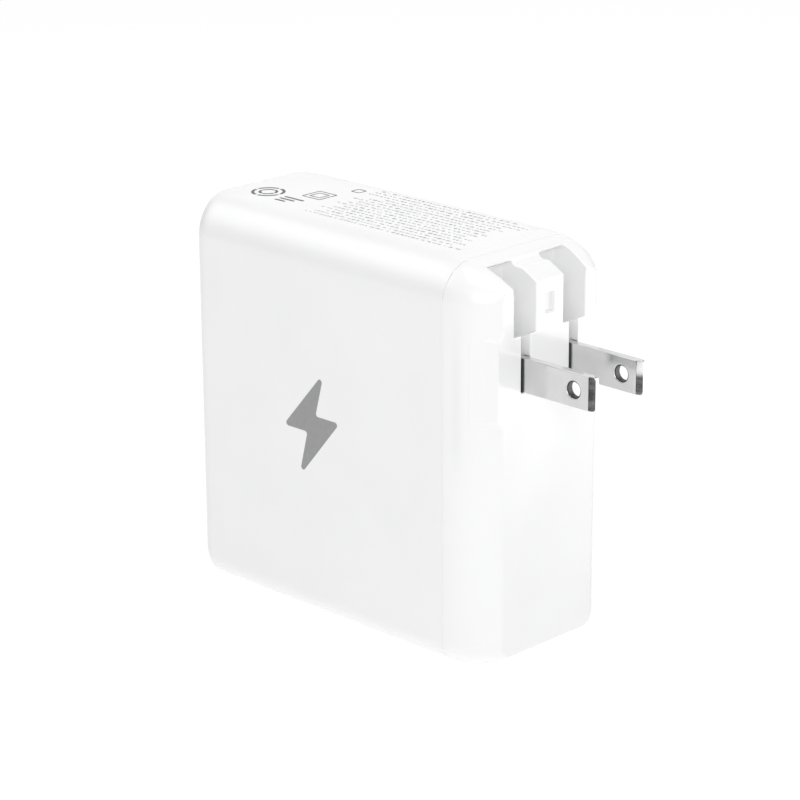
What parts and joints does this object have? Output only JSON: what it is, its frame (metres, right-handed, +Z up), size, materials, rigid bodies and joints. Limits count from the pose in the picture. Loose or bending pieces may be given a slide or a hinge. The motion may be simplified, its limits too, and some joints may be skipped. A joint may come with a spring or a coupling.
{
  "type": "laptop power adapter",
  "caption": "Square wall-plug power adapter in glossy moulded plastic, with flat prongs that fold up into a recessed end and a USB-C output at the back.",
  "frame": {"origin": "centre of the flat base the adapter stands on", "axes": "+X out of the plug end along the extended prongs, +Z up, +Y across the thickness"},
  "size_m": [0.0923, 0.0364, 0.076],
  "materials": {
    "white_shell": "polished white moulded polycarbonate",
    "black_plastic": "matte black moulded insulator",
    "steel": "plain steel",
    "plated_prong": "nickel plated brass, fine drawn grain",
    "contact_brass": "spring bronze",
    "wire_brown": "brown lead insulation",
    "wire_blue": "blue lead insulation",
    "board_green": "solder mask on glass laminate",
    "ferrite": "dull sintered ferrite",
    "winding": "enamelled copper wire",
    "capacitor_sleeve": "shrink sleeve",
    "film_yellow": "moulded box",
    "disc_blue": "dipped coating",
    "choke_green": "coated ring core",
    "fuse_body": "ceramic",
    "varistor_red": "dipped coating",
    "capacitor_can": "bare can",
    "heat_plate": "plain sheet",
    "pad_grey": "silicone gap pad",
    "insulator": "film sheet"
  },
  "bodies": {
    "body": {"housing": "white_shell", "end_cap": "white_shell", "hinge_bracket": "black_plastic", "bracket_screws": "steel", "detent_spring": "steel", "contact_line": "contact_brass", "contact_neutral": "contact_brass", "wire_line": "wire_brown", "wire_neutral": "wire_blue", "main_board": "board_green", "port_board": "board_green", "usb_c_shell": "steel", "usb_c_tongue": "black_plastic", "transformer_core": "ferrite", "transformer_bobbin": "black_plastic", "transformer_winding": "winding", "bulk_capacitors": "capacitor_sleeve", "film_capacitor": "film_yellow", "disc_capacitor": "disc_blue", "choke_core": "choke_green", "choke_windings": "winding", "fuse": "fuse_body", "varistor": "varistor_red", "bridge_rectifier": "black_plastic", "power_transistors": "black_plastic", "control_chips": "black_plastic", "output_capacitors": "capacitor_can", "output_inductor": "ferrite", "heat_spreader": "heat_plate", "thermal_pad": "pad_grey", "insulating_sheet": "insulator"},
    "prongs": {"prong_carrier": "black_plastic", "prong_line": "plated_prong", "prong_neutral": "plated_prong"}
  },
  "joints": [
    {"name": "prong_fold", "type": "hinge", "parent": "body", "child": "prongs", "pos_m": [0.0349, 0, 0.0531], "axis": [0, -1, 0], "range_deg": [0, 90]}
  ]
}
